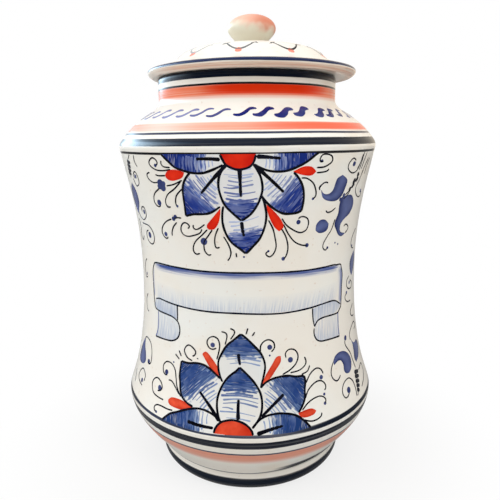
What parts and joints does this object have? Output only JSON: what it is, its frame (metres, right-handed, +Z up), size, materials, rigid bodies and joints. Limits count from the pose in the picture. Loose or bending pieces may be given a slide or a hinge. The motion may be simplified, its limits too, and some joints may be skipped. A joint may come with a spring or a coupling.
{
  "type": "albarello",
  "caption": "Waisted tin-glazed pharmacy jar on a foot ring, with a loose domed lid that is lifted by a ball knob.",
  "frame": {"origin": "centre of the ring that the jar stands on, at the surface under it", "axes": "+Z up along the jar's axis, -Y towards the painted front, +X to the viewer's right"},
  "size_m": [0.176, 0.176, 0.3031],
  "materials": {
    "body_glaze": "warm white tin glaze, soft gloss, with painted bands and ornament",
    "foot_glaze": "warm white tin glaze with a navy band, bare fired clay on the tread",
    "lid_glaze": "warm white tin glaze, soft gloss, with a blue line and small festoons",
    "flange_glaze": "thin glaze over buff clay",
    "knob_glaze": "cream glaze with a washed orange pink top"
  },
  "bodies": {
    "jar": {"jar_body": "body_glaze", "foot_ring": "foot_glaze"},
    "lid": {"lid_cover": "lid_glaze", "lid_flange": "flange_glaze", "lid_knob": "knob_glaze"}
  },
  "joints": [
    {"name": "lid_lift", "type": "slide", "parent": "jar", "child": "lid", "axis": [0, 0, 1], "range_m": [0, 0.12]}
  ]
}
